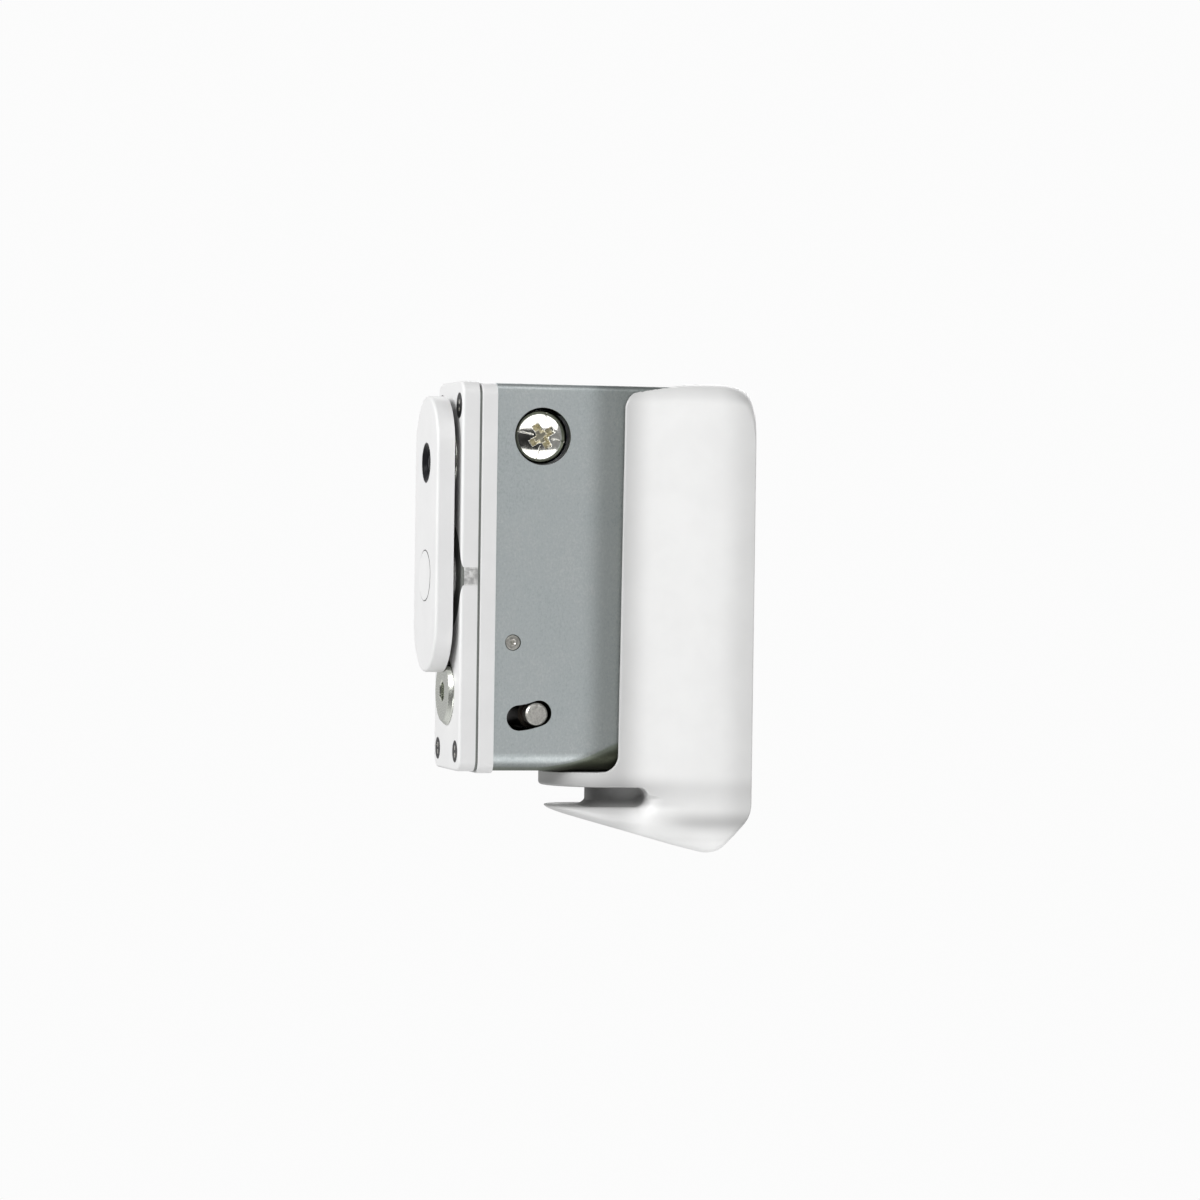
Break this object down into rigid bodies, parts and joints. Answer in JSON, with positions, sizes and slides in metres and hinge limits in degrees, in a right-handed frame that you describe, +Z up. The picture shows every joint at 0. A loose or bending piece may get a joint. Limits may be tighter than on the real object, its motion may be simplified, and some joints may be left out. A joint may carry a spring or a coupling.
{
  "type": "video doorbell",
  "caption": "Slim wall-held video doorbell: pill-shaped face with camera window and call button on plated front, steel housing with sprung side latch, held in a flared white cradle.",
  "frame": {"origin": "centre of the cradle's wall face", "axes": "+Y into the wall, -Y the way the bell faces, +Z up, +X the side with the cross-recessed screw"},
  "size_m": [0.0386, 0.0809, 0.1182],
  "materials": {
    "white_face": "fine satin white powder coat",
    "white_plate": "fine satin white powder coat",
    "white_button": "smooth white, slightly glossy",
    "white_cradle": "satin moulded white",
    "zinc_steel": "zinc-plated sheet steel, satin, faintly mottled",
    "polished_steel": "polished stainless steel",
    "bare_steel": "machined stainless steel",
    "spring_steel": "drawn wire",
    "cast_metal": "rough as-cast surface",
    "raw_aluminium": "milled",
    "black_screw": "black oxide",
    "dark_rubber": "matt moulded rubber",
    "dark_foam": "closed-cell foam",
    "dark_glass": "tinted lens window",
    "black_plastic": "moulded black",
    "circuit_board": "green solder mask",
    "silver_can": "tinned shield can",
    "battery_wrap": "shrink wrap",
    "amber_film": "polyimide flex",
    "brass": "turned brass"
  },
  "bodies": {
    "wall_unit": {"bell_face": "white_face", "bell_back_cover": "black_plastic", "bell_board": "circuit_board", "lens_window": "dark_glass", "camera_module": "black_plastic", "microphone": "silver_can", "switch_dome": "bare_steel", "neck_boss": "cast_metal", "neck_seal": "dark_rubber", "front_plate_upper": "white_plate", "front_plate_lower": "white_plate", "spanner_screws_upper": "black_screw", "spanner_screws_lower": "black_screw", "cap_bolts": "polished_steel", "plate_gasket": "dark_rubber", "adapter_plate": "white_plate", "adapter_screws": "bare_steel", "weld_nut": "bare_steel", "housing": "zinc_steel", "chassis": "raw_aluminium", "side_screw": "polished_steel", "clamp_nut": "brass", "pivot_pin": "bare_steel", "keeper": "bare_steel", "keeper_screws": "bare_steel", "main_board": "circuit_board", "board_modules": "silver_can", "battery": "battery_wrap", "battery_tray": "black_plastic", "speaker": "black_plastic", "ribbon_cable": "amber_film", "cradle": "white_cradle", "hook_plate": "bare_steel", "hook_screws": "bare_steel", "rest_pads": "dark_foam"},
    "call_button": {"button_cap": "white_button"},
    "latch": {"latch_lever": "spring_steel", "cross_pin": "bare_steel", "latch_spring": "spring_steel"}
  },
  "joints": [
    {"name": "call_button_press", "type": "slide", "parent": "wall_unit", "child": "call_button", "axis": [0, 1, 0], "range_m": [0, 0.0005], "stiffness_N_per_m": 2000, "springref_m": -0.0003},
    {"name": "latch_release", "type": "hinge", "parent": "wall_unit", "child": "latch", "pos_m": [0, -0.0611, -0.009], "axis": [1, 0, 0], "range_deg": [-14, 0], "stiffness_Nm_per_rad": 0.08, "springref_deg": 17.19}
  ]
}
